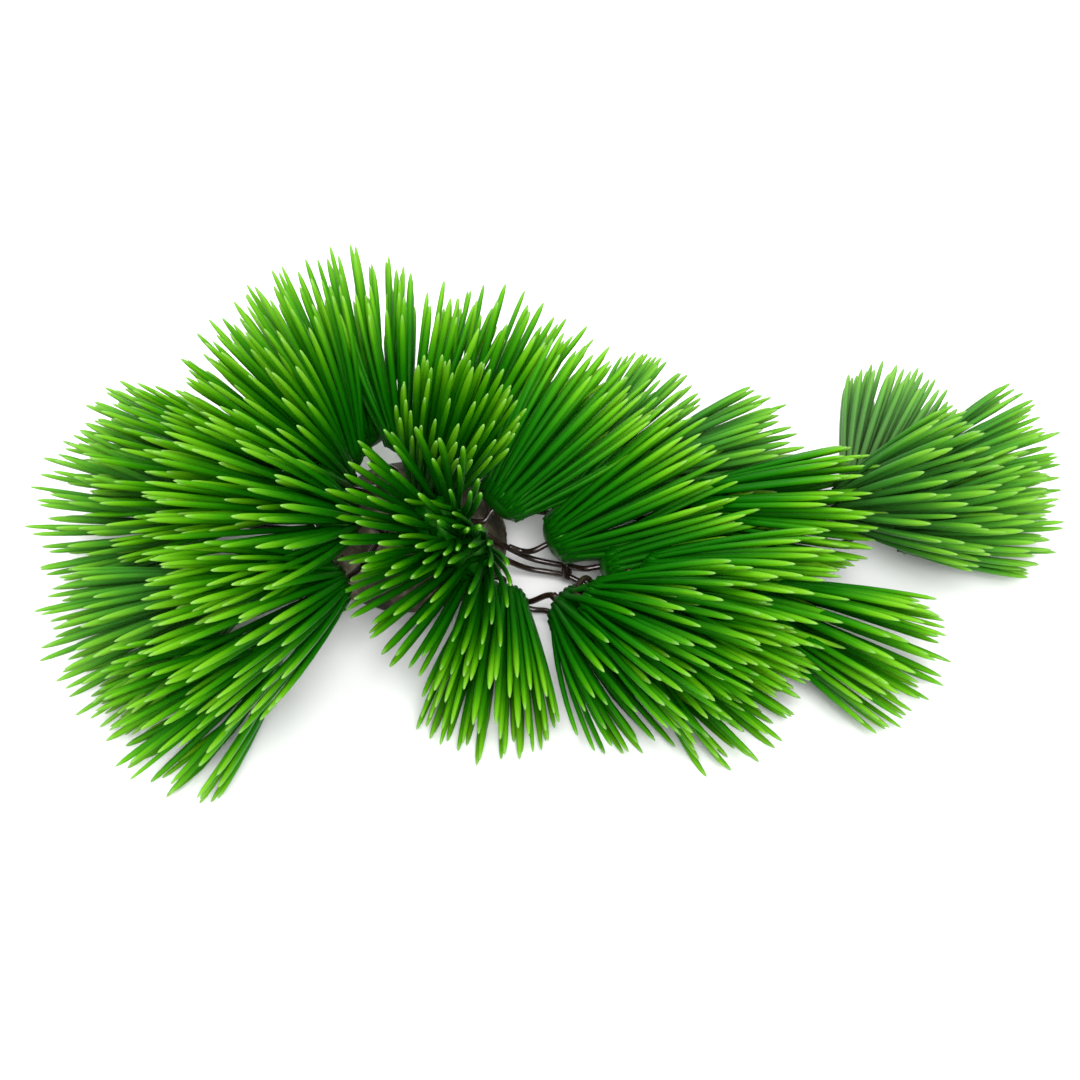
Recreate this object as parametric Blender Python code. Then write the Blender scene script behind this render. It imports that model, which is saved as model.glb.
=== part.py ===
"""Artificial spikerush for an aquarium.

A stone foot, stiff coated wire stems, and tufts of moulded spikes. Each tuft is a domed cap with
tapered spikes fused to its front. Units are metres, +Z up; the origin is the middle of the flat
underside of the stone.
"""
import math

import bmesh
import bpy
import numpy as np
from mathutils import Vector

MM = 0.001

# stone
STONE_HALF_X = 30.0 * MM
STONE_HALF_Y = 27.0 * MM
STONE_TOP = 26.0 * MM
STONE_CENTRE_Z = 8.0 * MM
STONE_LUMP = 0.07

# tufts; a spike tries its full length and direction first, then shorter and turned ones
CAP_RADIUS = 8.0 * MM
CAP_DEPTH = 0.6
CAP_FACES = 2
CAP_ROLL = 0.9
FRONT_LIMIT = -0.25
FACING = 0.2
TIP_RADIUS = 0.1 * MM
LENGTH_SPREAD = 0.09
OUTER_SHORT = 0.1
ANGLE_SPREAD = 0.05
LENGTH_STEPS = (1.0, 0.86, 0.7, 0.55)
TURN_STEPS = ((0.0, 1.0), (7.0, 1.0), (-7.0, 1.0), (0.0, 0.8), (0.0, 1.15), (14.0, 0.9), (-14.0, 0.9))
ROOT_SHARE = 0.35

# wires
WIRE_RADIUS = 0.9 * MM
BRANCH_RADIUS = 0.75 * MM
WIRE_GAP = 0.45 * MM
WIRE_STRAIGHT = 4.0 * MM
WIRE_STEPS = 2

# clearances
GAP = 0.55 * MM
OWN_GAP = 0.1 * MM
FLOOR_GAP = 0.4 * MM
SAMPLES = 14
WELD = 0.001 * MM
SEED = 100

SPIKE_GREEN = (0.03, 0.30, 0.01, 1.0)
SPIKE_ROUGHNESS = 0.4
WIRE_BROWN = (0.025, 0.015, 0.010, 1.0)
WIRE_ROUGHNESS = 0.35
STONE_GREY = (0.16, 0.13, 0.10, 1.0)
STONE_ROUGHNESS = 0.85

# name, cap centre x, y, z in mm, azimuth, elevation in degrees, spike length in mm, fan half angle
TUFTS = (
    ("tuft_top_upright", 8, -2, 36, -21, 75, 42, 15),
    ("tuft_top_front", 10, -25, 44, -115, 57, 39, 22),
    ("tuft_top_low", 18, -24, 28, -114, 30, 41, 27),
    ("tuft_front", 27, -29, 12, -94, -1, 48, 15),
    ("tuft_back_right", 28, -4, 30, 44, 21, 51, 19),
    ("tuft_left_front", -21, -42, 36, -132, 21, 53, 22),
    ("tuft_left_middle", -18, -26, 46, -148, 33, 55, 26),
    ("tuft_left_back", -21, -8, 43, -160, 48, 53, 26),
    ("tuft_back_left", -20, 7, 34, 144, 42, 52, 28),
    ("tuft_back_1", -15, 26, 26, 115, 36, 54, 24),
    ("tuft_back_2", 0, 15, 35, 85, 36, 44, 27),
    ("tuft_back_3", 19, 19, 30, 59, 29, 44, 30),
    ("tuft_right_far", 105, -29, 12, -37, 8, 53, 14),
    ("tuft_right_front_1", 48, -34, 15, -47, 7, 47, 28),
    ("tuft_right_front_2", 56, -41, 27, -38, 14, 50, 21),
    ("tuft_right_1", 72, -28, 22, -26, 10, 54, 18),
    ("tuft_right_2", 61, -15, 13, 5, 7, 46, 15),
    ("tuft_right_3", 45, -8, 17, 19, 17, 53, 18),
    ("tuft_end_back", 138, 16, 16, 62, 23, 34, 20),
    ("tuft_end_front", 131, 1, 22, -16, 29, 44, 23),
    ("tuft_end_far", 148, 0, 13, -4, 15, 42, 17),
    ("tuft_end_side", 155, 17, 14, 12, 9, 40, 21),
    ("tuft_right_mid", 88, 0, 22, -13, 14, 50, 13),
    ("tuft_right_back_2", 72, 16, 18, 4, 12, 43, 18),
    ("tuft_right_back_1", 55, 24, 13, 37, 16, 38, 21),
    ("tuft_right_low", 72, -42, 14, -42, 1, 44, 22),
    ("tuft_left_low_front", -40, -53, 17, -137, 1, 45, 26),
    ("tuft_left_low_1", -53, -30, 16, -147, 4, 50, 21),
    ("tuft_left_low_2", -64, -1, 16, -170, 18, 45, 24),
    ("tuft_left_low_3", -58, 13, 20, 173, 14, 42, 19),
    ("tuft_left_mid", -42, 1, 28, -167, 26, 51, 22),
)


def unit(v):
    """Vector v scaled to length one."""
    return v / np.linalg.norm(v)


def axis_of(azimuth, elevation):
    """Unit vector for an azimuth and an elevation in degrees."""
    a, e = math.radians(azimuth), math.radians(elevation)
    return np.array([math.cos(a) * math.cos(e), math.sin(a) * math.cos(e), math.sin(e)])


def frame_of(axis):
    """Two unit vectors square to the axis."""
    side = unit(np.cross([0.0, 0.0, 1.0], axis)) if abs(axis[2]) < 0.95 else np.array([1.0, 0.0, 0.0])
    side = unit(side - axis * (side @ axis))
    return side, np.cross(axis, side)


def segment_gap(p0, p1, r0, r1, segments):
    """Least distance between a tapered segment and each of the tapered segments in the array."""
    q0, q1, s0, s1 = segments[:, 0:3], segments[:, 3:6], segments[:, 6], segments[:, 7]
    d1 = p1 - p0
    d2 = q1 - q0
    r = p0 - q0
    a = d1 @ d1
    e = np.einsum("ij,ij->i", d2, d2)
    f = np.einsum("ij,ij->i", d2, r)
    c = r @ d1
    b = d2 @ d1
    den = np.maximum(a * e - b * b, 1e-18)
    s = np.clip((b * f - c * e) / den, 0.0, 1.0)
    t = np.clip((b * s + f) / e, 0.0, 1.0)
    s = np.clip((b * t - c) / a, 0.0, 1.0)
    x = p0 + s[:, None] * d1
    y = q0 + t[:, None] * d2
    return np.linalg.norm(x - y, axis=1) - (r0 + s * (r1 - r0)) - (s0 + t * (s1 - s0))


def ellipsoid_hit(p0, p1, r0, r1, centre, axes, halves, margin):
    """True where a tapered segment enters an ellipsoid widened by the margin and its own radius."""
    t = np.linspace(0.0, 1.0, SAMPLES)
    points = p0 + t[:, None] * (p1 - p0) - centre
    radii = r0 + t * (r1 - r0)
    local = points @ np.array(axes).T
    grown = np.array(halves)[None, :] + (radii + margin)[:, None]
    return bool((np.sum((local / grown) ** 2, axis=1) < 1.0).any())


def stone_hit(p0, p1, r0, r1, margin):
    """True where a tapered segment comes too near the stone."""
    halves = (STONE_HALF_X, STONE_HALF_Y, STONE_TOP - STONE_CENTRE_Z)
    return ellipsoid_hit(p0, p1, r0, r1, np.array([0.0, 0.0, STONE_CENTRE_Z]), np.eye(3), halves, margin)


class Tuft:
    """Place, direction and accepted spikes of one tuft."""

    def __init__(self, row, number):
        self.name = row[0]
        self.centre = np.array(row[1:4], float) * MM
        self.axis = axis_of(row[4], row[5])
        self.side, self.up = frame_of(self.axis)
        self.length = row[6] * MM
        self.spread = math.radians(row[7])
        self.number = number
        self.frame = (self.side, self.up, self.axis)
        self.halves = (CAP_RADIUS, CAP_RADIUS, CAP_RADIUS * CAP_DEPTH)

    def back(self, margin):
        """Point behind the middle of the cap."""
        return self.centre - self.axis * (CAP_RADIUS * CAP_DEPTH + margin)

    def cap_hit(self, p0, p1, r0, r1, margin):
        """True where a tapered segment comes too near the cap."""
        return ellipsoid_hit(p0, p1, r0, r1, self.centre, self.frame, self.halves, margin)


def smooth_path(points, steps):
    """Points on a smooth line through the given points, the same number of steps in each span."""
    pts = np.array(points, float)
    ends = np.vstack([pts[0], pts, pts[-1]])
    heading = ends[2:] - ends[:-2]
    heading /= np.linalg.norm(heading, axis=1)[:, None]
    out = []
    for i in range(len(pts) - 1):
        size = np.linalg.norm(pts[i + 1] - pts[i])
        for k in range(steps):
            t = k / steps
            out.append((2 * t ** 3 - 3 * t ** 2 + 1) * pts[i] + (t ** 3 - 2 * t ** 2 + t) * size * heading[i]
                       + (3 * t ** 2 - 2 * t ** 3) * pts[i + 1] + (t ** 3 - t ** 2) * size * heading[i + 1])
    out.append(pts[-1])
    return np.array(out)


def stone_point(azimuth, elevation, lift):
    """Point above the stone's surface, seen from its middle at the given angles."""
    d = axis_of(azimuth, elevation)
    halves = np.array([STONE_HALF_X, STONE_HALF_Y, STONE_TOP - STONE_CENTRE_Z])
    reach = 1.0 / math.sqrt(np.sum((d / halves) ** 2))
    return np.array([0.0, 0.0, STONE_CENTRE_Z]) + d * (reach + lift)


# wire name, start on the stone (azimuth, elevation) or on a wire (name, fraction), points passed in mm,
# tuft at the end; a row that starts on the wire of its own name is a branch fused to that wire
WIRES = (
    ("stem_top_upright", (0, 76), (), "tuft_top_upright"),
    ("stem_top_front", (-82, 60), ((9, -16, 31),), "tuft_top_front"),
    ("stem_top_low", (-44, 40), (), "tuft_top_low"),
    ("stem_front", (-42, 8), (), "tuft_front"),
    ("stem_left_front", (-120, 58), ((-12, -27, 28),), "tuft_left_front"),
    ("stem_left_middle", (-130, 66), ((-6, -22, 36),), "tuft_left_middle"),
    ("stem_left_back", (170, 68), (), "tuft_left_back"),
    ("stem_left_mid", (172, 40), (), "tuft_left_mid"),
    ("stem_back_left", (110, 74), (), "tuft_back_left"),
    ("stem_back_1", (112, 50), (), "tuft_back_1"),
    ("stem_back_2", (85, 70), (), "tuft_back_2"),
    ("stem_back_3", (54, 46), (), "tuft_back_3"),
    ("stem_back_right", (-32, 60), (), "tuft_back_right"),
    ("stem_right_1", (-14, 45), ((20, -8.5, 22.5), (26, -9.5, 17), (31, -9, 12), (36, -9, 8.5), (42, -10, 7.5),
                                 (47, -11.5, 8)), "tuft_right_2"),
    ("stem_right_1_branch", ("stem_right_1", 0.42), (), "tuft_right_3"),
    ("stem_right_2", (-28, 44), ((19.5, -11, 20.5), (25.5, -12, 14.5), (30.5, -11.5, 9.5), (35.5, -11, 6),
                                 (41.5, -11.5, 5), (47, -13, 5), (55, -17, 3.5), (63, -25.5, 8)), "tuft_right_1"),
    ("stem_right_3", ("stem_right_2", 0.8), ((57, -27, 14), (52, -27.5, 22)), "tuft_right_front_2"),
    ("stem_right_4", (-40, 2), ((30, -21, 5), (35, -24.5, 7)), "tuft_right_front_1"),
    ("stem_right_5", ("stem_right_4", 0.3), ((36, -24, 3), (41, -25, 3.2), (47, -29, 3), (54, -33, 4),
                                             (78, -32, 5)), "tuft_right_far"),
    ("stem_right_5", ("stem_right_5", 0.5), (), "tuft_right_low"),
    ("stem_back_far", (16, 20), ((38, 10, 8), (60, 9, 8), (74, 2, 14)), "tuft_right_mid"),
    ("stem_back_far_branch_1", ("stem_back_far", 0.25), (), "tuft_right_back_1"),
    ("stem_back_far_branch_2", ("stem_back_far", 0.5), (), "tuft_right_back_2"),
    ("stem_end", ("stem_back_far", 0.68), ((90, -3, 5), (108, -4, 14)), "tuft_end_front"),
    ("stem_end", ("stem_end", 0.45), ((112, 3, 9), (124, 6, 10)), "tuft_end_back"),
    ("stem_end", ("stem_end", 0.3), ((112, 6, 5), (128, 10, 5), (141, 11, 5)), "tuft_end_side"),
    ("stem_end_branch", ("stem_end", 0.7), ((126, -2, 7),), "tuft_end_far"),
    ("stem_left_low_1", (200, 8), (), "tuft_left_low_1"),
    ("stem_left_low_2", (182, 8), (), "tuft_left_low_2"),
    ("stem_left_low_3", (158, 8), (), "tuft_left_low_3"),
    ("stem_left_low_front", (228, 8), (), "tuft_left_low_front"),
)


def plan_wires(tufts):
    """Rows of name, radius and centre line for every wire and fused branch, in order."""
    ends = {t.name: t for t in tufts}
    lines = []
    for name, start, via, tuft in WIRES:
        end = ends[tuft]
        finish = end.back(WIRE_GAP)
        before = end.back(WIRE_GAP + WIRE_STRAIGHT)
        middle = [np.array(p, float) * MM for p in via]
        radius = WIRE_RADIUS
        if isinstance(start[0], str):
            trunk = next(line for other, _, line in lines if other == start[0])
            at = start[1] * (len(trunk) - 1)
            i = min(int(at), len(trunk) - 2)
            first = trunk[i] + (at - i) * (trunk[i + 1] - trunk[i])
            if start[0] == name:
                radius = BRANCH_RADIUS
            else:
                tangent = unit(trunk[i + 1] - trunk[i])
                aim = (middle + [before])[0] - first
                aim = unit(aim - tangent * (aim @ tangent))
                first = first + aim * (2.0 * WIRE_RADIUS + WIRE_GAP)
        else:
            first = stone_point(start[0], start[1], WIRE_GAP)
        lines.append((name, radius, smooth_path([first] + middle + [before, finish], WIRE_STEPS)))
    return lines


def plan_spikes(tufts, lines):
    """Tip of each spike that clears the wires, the stone, the floor and the other tufts."""
    taken = np.zeros((0, 9))
    for _, radius, line in lines:
        rows = [np.r_[a, b, radius, radius, -1.0] for a, b in zip(line[:-1], line[1:])]
        taken = np.vstack([taken, rows])
    plan = {}
    for tuft in tufts:
        rng = np.random.default_rng(SEED + tuft.number)
        tips = {}
        for face in cap_faces(tuft):
            reach = tuft.length * (1.0 - LENGTH_SPREAD * rng.random())
            reach *= 1.0 - OUTER_SHORT * min(face[4] / (0.5 * math.pi), 1.0) ** 2
            jitter = rng.uniform(-ANGLE_SPREAD, ANGLE_SPREAD, 2)
            tip = free_tip(tuft, tufts, face, reach, jitter, taken)
            if tip is not None:
                index, base, _, radius = face[:4]
                tips[index] = tip
                taken = np.vstack([taken, np.r_[base, tip, radius, TIP_RADIUS, tuft.number]])
        plan[tuft.name] = tips
    return plan


def free_tip(tuft, tufts, face, reach, jitter, taken):
    """First tip tried on a cap face that touches nothing, or None."""
    _, base, normal, radius, polar, around = face
    for scale in LENGTH_STEPS:
        for turn, squeeze in TURN_STEPS:
            tilt = tuft.spread * min(polar / (0.5 * math.pi), 1.0) * squeeze + jitter[0]
            angle = around + math.radians(turn) + jitter[1]
            across = tuft.side * math.cos(angle) + tuft.up * math.sin(angle)
            tip = base + (tuft.axis * math.cos(tilt) + across * math.sin(tilt)) * reach * scale
            tip[2] = max(tip[2], FLOOR_GAP)
            if normal @ unit(tip - base) >= FACING and clear(tuft, tufts, base, tip, radius, taken):
                return tip
    return None


def clear(tuft, tufts, base, tip, radius, taken):
    """True where a spike from base to tip touches nothing."""
    if stone_hit(base, tip, radius, 0.0, GAP):
        return False
    reach = np.linalg.norm(tip - base) + 2.0 * CAP_RADIUS
    for other in tufts:
        if other is tuft or np.linalg.norm(other.centre - base) > reach:
            continue
        if other.cap_hit(base, tip, radius, TIP_RADIUS, GAP):
            return False
    others = taken[taken[:, 8] != tuft.number]
    if len(others) and segment_gap(base, tip, radius, TIP_RADIUS, others).min() < GAP:
        return False
    own = taken[taken[:, 8] == tuft.number]
    if len(own):
        cut = own.copy()
        cut[:, 0:3] += ROOT_SHARE * (cut[:, 3:6] - cut[:, 0:3])
        cut[:, 6] *= ROOT_SHARE
        start = base + ROOT_SHARE * (tip - base)
        if segment_gap(start, tip, ROOT_SHARE * radius, TIP_RADIUS, cut).min() < OWN_GAP:
            return False
    return True


def cap_mesh(tuft):
    """Flattened ball of the cap in its place."""
    bm = bmesh.new()
    bmesh.ops.create_icosphere(bm, subdivisions=CAP_FACES, radius=1.0)
    roll = tuft.number * CAP_ROLL
    for v in bm.verts:
        x, y, z = v.co
        c, s = math.cos(roll), math.sin(roll)
        p = (tuft.centre + tuft.side * CAP_RADIUS * (c * x - s * y)
             + tuft.up * CAP_RADIUS * (s * x + c * y) + tuft.axis * CAP_RADIUS * CAP_DEPTH * z)
        v.co = Vector(p)
    bm.normal_update()
    bm.faces.index_update()
    return bm


def cap_faces(tuft):
    """Faces of the cap's front with the middle, radius, polar angle and direction of each."""
    bm = cap_mesh(tuft)
    rows = []
    for face in bm.faces:
        base = np.array(face.calc_center_median())
        local = (base - tuft.centre) / CAP_RADIUS
        a = (local @ tuft.axis) / CAP_DEPTH
        x, y = local @ tuft.side, local @ tuft.up
        polar = math.atan2(math.hypot(x, y), a)
        if a < FRONT_LIMIT:
            continue
        radius = max((np.linalg.norm(np.array(v.co) - base) for v in face.verts))
        rows.append((face.index, base, np.array(face.normal), radius, polar, math.atan2(y, x)))
    bm.free()
    rows.sort(key=lambda r: -r[4])
    return rows


def material(name, colour, roughness):
    """Plain material of one colour."""
    mat = bpy.data.materials.new(name)
    mat.use_nodes = True
    shader = mat.node_tree.nodes["Principled BSDF"]
    shader.inputs["Base Color"].default_value = colour
    shader.inputs["Roughness"].default_value = roughness
    mat.diffuse_color = colour
    return mat


def add_object(name, mesh, mat, collection, smooth=False):
    """Object of one mesh in the collection."""
    mesh.materials.clear()
    mesh.materials.append(mat)
    for polygon in mesh.polygons:
        polygon.use_smooth = smooth
    item = bpy.data.objects.new(name, mesh)
    collection.objects.link(item)
    return item


def build_tuft(tuft, tips, mat, collection):
    """Cap with a tapered spike raised on each planned face."""
    bm = cap_mesh(tuft)
    faces = {face.index: face for face in bm.faces}
    for index, tip in tips.items():
        poked = bmesh.ops.poke(bm, faces=[faces[index]])
        poked["verts"][0].co = Vector(tip)
    bmesh.ops.translate(bm, verts=bm.verts, vec=-Vector(tuft.centre))
    mesh = bpy.data.meshes.new(tuft.name)
    bm.to_mesh(mesh)
    bm.free()
    item = add_object(tuft.name, mesh, mat, collection)
    item.location = tuft.centre
    return item


def tube(name, radius, line, collection):
    """Round tube along a centre line, closed at both ends."""
    curve = bpy.data.curves.new(name, "CURVE")
    curve.dimensions = "3D"
    curve.bevel_depth = radius
    curve.bevel_resolution = 1
    curve.use_fill_caps = True
    spline = curve.splines.new("POLY")
    spline.points.add(len(line) - 1)
    for point, place in zip(spline.points, line):
        point.co = (*place, 1.0)
    helper = bpy.data.objects.new(name + "_curve", curve)
    collection.objects.link(helper)
    bpy.context.view_layer.update()
    evaluated = helper.evaluated_get(bpy.context.evaluated_depsgraph_get())
    mesh = bpy.data.meshes.new_from_object(evaluated)
    mesh.name = name
    bpy.data.objects.remove(helper)
    bpy.data.curves.remove(curve)
    bm = bmesh.new()
    bm.from_mesh(mesh)
    bmesh.ops.remove_doubles(bm, verts=bm.verts, dist=WELD)
    bmesh.ops.recalc_face_normals(bm, faces=bm.faces)
    bm.to_mesh(mesh)
    bm.free()
    return mesh


def build_wire(name, rows, mat, collection, cutters):
    """Wire along its centre line with its branches fused to it."""
    item = add_object(name, tube(name, *rows[0], collection), mat, collection, smooth=True)
    for number, row in enumerate(rows[1:]):
        branch_name = "%s_fused_%d" % (name, number + 1)
        branch = add_object(branch_name, tube(branch_name, *row, collection), mat, cutters, smooth=True)
        branch.hide_render = True
        branch.display_type = "WIRE"
        union = item.modifiers.new(branch_name, "BOOLEAN")
        union.operation = "UNION"
        union.solver = "EXACT"
        union.object = branch
    return item


def build_stone(mat, collection):
    """Uneven rounded stone, cut flat below."""
    bm = bmesh.new()
    bmesh.ops.create_icosphere(bm, subdivisions=3, radius=1.0)
    for v in bm.verts:
        x, y, z = v.co
        lumps = (math.sin(3.1 * x + 1.3) * math.sin(2.7 * y + 0.4)
                 + 0.6 * math.sin(6.3 * x - 2.0 * z) * math.sin(5.9 * y + 1.1)
                 + 0.4 * math.sin(9.0 * z + 4.0 * x))
        grow = 1.0 - STONE_LUMP * (0.5 - 0.25 * lumps)
        v.co = Vector((x * STONE_HALF_X, y * STONE_HALF_Y, z * (STONE_TOP - STONE_CENTRE_Z))) * grow
        v.co.z += STONE_CENTRE_Z
    cut = bmesh.ops.bisect_plane(bm, geom=bm.verts[:] + bm.edges[:] + bm.faces[:], dist=1e-7,
                                 plane_co=(0, 0, 0), plane_no=(0, 0, -1), clear_outer=True)
    rim = [e for e in cut["geom_cut"] if isinstance(e, bmesh.types.BMEdge)]
    bmesh.ops.contextual_create(bm, geom=rim)
    bmesh.ops.recalc_face_normals(bm, faces=bm.faces)
    mesh = bpy.data.meshes.new("stone")
    bm.to_mesh(mesh)
    bm.free()
    return add_object("stone", mesh, mat, collection)


def main():
    """Build every piece in the collection."""
    for item in list(bpy.data.objects):
        bpy.data.objects.remove(item)
    collection = bpy.data.collections.new("spikerush")
    bpy.context.scene.collection.children.link(collection)
    cutters = bpy.data.collections.new("spikerush_cutters")
    bpy.context.scene.collection.children.link(cutters)
    tufts = [Tuft(row, number) for number, row in enumerate(TUFTS)]
    lines = plan_wires(tufts)
    plan = plan_spikes(tufts, lines)
    build_stone(material("stone", STONE_GREY, STONE_ROUGHNESS), collection)
    wires = {}
    for name, radius, line in lines:
        wires.setdefault(name, []).append((radius, line))
    for name, rows in wires.items():
        build_wire(name, rows, material(name, WIRE_BROWN, WIRE_ROUGHNESS), collection, cutters)
    for tuft in tufts:
        build_tuft(tuft, plan[tuft.name], material(tuft.name, SPIKE_GREEN, SPIKE_ROUGHNESS), collection)
    return tufts, lines, plan


RESULT = main()
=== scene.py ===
"""Artificial spikerush for an aquarium: mottled stone foot, coated wire stems, tufts of moulded spikes."""
import math

import bpy
import numpy as np
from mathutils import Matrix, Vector


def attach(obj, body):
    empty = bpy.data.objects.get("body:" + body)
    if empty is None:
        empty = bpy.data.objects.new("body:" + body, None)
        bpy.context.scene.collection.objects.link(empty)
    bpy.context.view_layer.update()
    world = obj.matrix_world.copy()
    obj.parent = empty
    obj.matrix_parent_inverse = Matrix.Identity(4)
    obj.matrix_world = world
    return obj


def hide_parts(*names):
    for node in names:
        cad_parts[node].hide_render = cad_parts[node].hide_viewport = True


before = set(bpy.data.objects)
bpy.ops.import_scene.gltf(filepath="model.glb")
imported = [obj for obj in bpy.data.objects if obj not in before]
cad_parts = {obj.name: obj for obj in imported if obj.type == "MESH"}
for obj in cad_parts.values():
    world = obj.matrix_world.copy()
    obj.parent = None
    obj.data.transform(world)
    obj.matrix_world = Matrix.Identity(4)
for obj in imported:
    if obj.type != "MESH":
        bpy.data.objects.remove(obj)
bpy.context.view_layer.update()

MM = 0.001
ROOT = "root"

# camera and lights
CAMERA_TILT = 40.0
CAMERA_PLACE = (0.0387, -0.3904, 0.4716)
CAMERA_LENS = 66.667
CAMERA_CLIP = 0.01
SENSOR = 36.0
FLOOR_HALF = 3.0
FLOOR_WHITE = 0.86
SURROUND_STRENGTH = 1.0
LAMP_AIM = (0.03, 0.0, 0.0)

# name, place in metres, width in metres, watts
LAMPS = (
    ("lamp_above", (-0.25, 0.25, 0.9), 0.7, 6.0),
    ("lamp_front", (0.12, -0.5, 0.8), 0.4, 9.0),
)

# stone
STONE_HALVES = np.array([30.0, 27.0, 18.0]) * MM
STONE_CENTRE_Z = 8.0 * MM
STONE_LUMP = 0.07
STONE_FINE = 0.008
STONE_RINGS = 110
STONE_SIDES = 200

# tufts
CAP_RADIUS = 8.0 * MM
CAP_DEPTH = 0.6
SPIKE_WIDTH = 2.15 * MM
SPIKE_THICKNESS = 1.6 * MM
RINGS = ((94.0, 22), (74.0, 18), (50.0, 12), (22.0, 5))
THIN_TUFTS = ("tuft_top_front",)
THIN_SHARE = 0.78
ROOT_REACH = 0.93
HEEL_POLAR = 27.0
HEEL_REACH = 1.0
OUTER_SHORT = 0.1
FAN_LIMIT = 1.05
RIGHT_ANGLE = 0.5 * math.pi
TURN_SCATTER = 0.06
FAN_SCATTER = 0.07
TILT_SCATTER = 0.03
HEADING_SCATTER = 0.07
LENGTH_SCATTER = (-0.07, 0.03)
BEND_RANGE = (0.85, 1.15)
ROOT_BEND = 0.25
BEND_FALL = 0.42
ROLL_SCATTER = 0.5
SIZE_SCATTER = 0.1
STONE_SHARE = 0.98
PUSH_ROUNDS = 3
PUSH_CORE = 0.2
PUSH_RISE = 6.0
FLOOR_LIFT = 0.9 * MM
FLOOR_UNEVEN = 0.6 * MM
FLOOR_WAVE = 37.0
FLOOR_SKIN = 0.05 * MM
DOME_RINGS = 15
DOME_SIDES = 36
DOME_SEAM = 0.012
DOME_RIBS = 9.0
DOME_ALONG = 0.18
SPIKE_SEED = 500

# wires
WIRE_RADIUS = 0.9 * MM
BRANCH_RADIUS = 0.75 * MM
WIRE_GAP = 0.45 * MM
WIRE_STRAIGHT = 4.0 * MM
WIRE_LEAD = 4.0 * MM
WIRE_ASIDE = 1.2
WIRE_INTO_CAP = 1.5 * MM
WIRE_INTO_STONE = 3.0 * MM
WIRE_STEPS = 10
WIRE_SIDES = 14
COLLAR_WALL = 0.35 * MM
COLLAR_LENGTH = 2.3 * MM
COLLAR_SIDES = 28
COLLAR_PLACES = np.array([-0.5, -0.42, 0.42, 0.5]) * COLLAR_LENGTH
COLLAR_WALLS = np.array([0.2, 1.0, 1.0, 0.2]) * COLLAR_WALL

# name, cap centre x, y, z in mm, azimuth, elevation in degrees, spike length in mm, fan half angle, tint
# (rows 1 and 2 of GREENS mix in painted glare)
TUFTS = (
    ("tuft_top_upright", 8, -2, 36, -21, 75, 42, 15, 0),
    ("tuft_top_front", 10, -25, 44, -115, 57, 39, 22, 3),
    ("tuft_top_low", 18, -24, 28, -114, 30, 41, 27, 3),
    ("tuft_front", 27, -29, 12, -94, -1, 48, 15, 0),
    ("tuft_back_right", 28, -4, 30, 44, 21, 51, 19, 0),
    ("tuft_left_front", -21, -42, 36, -132, 21, 53, 22, 0),
    ("tuft_left_middle", -18, -26, 46, -148, 33, 55, 26, 0),
    ("tuft_left_back", -21, -8, 43, -160, 48, 53, 26, 0),
    ("tuft_back_left", -20, 7, 34, 144, 42, 52, 28, 0),
    ("tuft_back_1", -15, 26, 26, 115, 36, 54, 24, 0),
    ("tuft_back_2", 0, 15, 35, 85, 36, 44, 27, 0),
    ("tuft_back_3", 19, 19, 30, 59, 29, 44, 30, 0),
    ("tuft_right_far", 105, -29, 12, -37, 8, 53, 14, 0),
    ("tuft_right_front_1", 48, -34, 15, -47, 7, 47, 28, 3),
    ("tuft_right_front_2", 56, -41, 27, -38, 14, 50, 21, 3),
    ("tuft_right_1", 72, -28, 22, -26, 10, 54, 18, 0),
    ("tuft_right_2", 61, -15, 13, 5, 7, 46, 15, 0),
    ("tuft_right_3", 45, -8, 17, 19, 17, 53, 18, 0),
    ("tuft_end_back", 138, 16, 16, 62, 23, 34, 20, 2),
    ("tuft_end_front", 131, 1, 22, -16, 29, 44, 23, 1),
    ("tuft_end_far", 148, 0, 13, -4, 15, 42, 17, 1),
    ("tuft_end_side", 155, 17, 14, 12, 9, 40, 21, 1),
    ("tuft_right_mid", 88, 0, 22, -13, 14, 50, 13, 0),
    ("tuft_right_back_2", 72, 16, 18, 4, 12, 43, 18, 1),
    ("tuft_right_back_1", 55, 24, 13, 37, 16, 38, 21, 1),
    ("tuft_right_low", 72, -42, 14, -42, 1, 44, 22, 0),
    ("tuft_left_low_front", -40, -53, 17, -137, 1, 45, 26, 0),
    ("tuft_left_low_1", -53, -30, 16, -147, 4, 50, 21, 1),
    ("tuft_left_low_2", -64, -1, 16, -170, 18, 45, 24, 1),
    ("tuft_left_low_3", -58, 13, 20, 173, 14, 42, 19, 1),
    ("tuft_left_mid", -42, 1, 28, -167, 26, 51, 22, 0),
)

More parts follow.
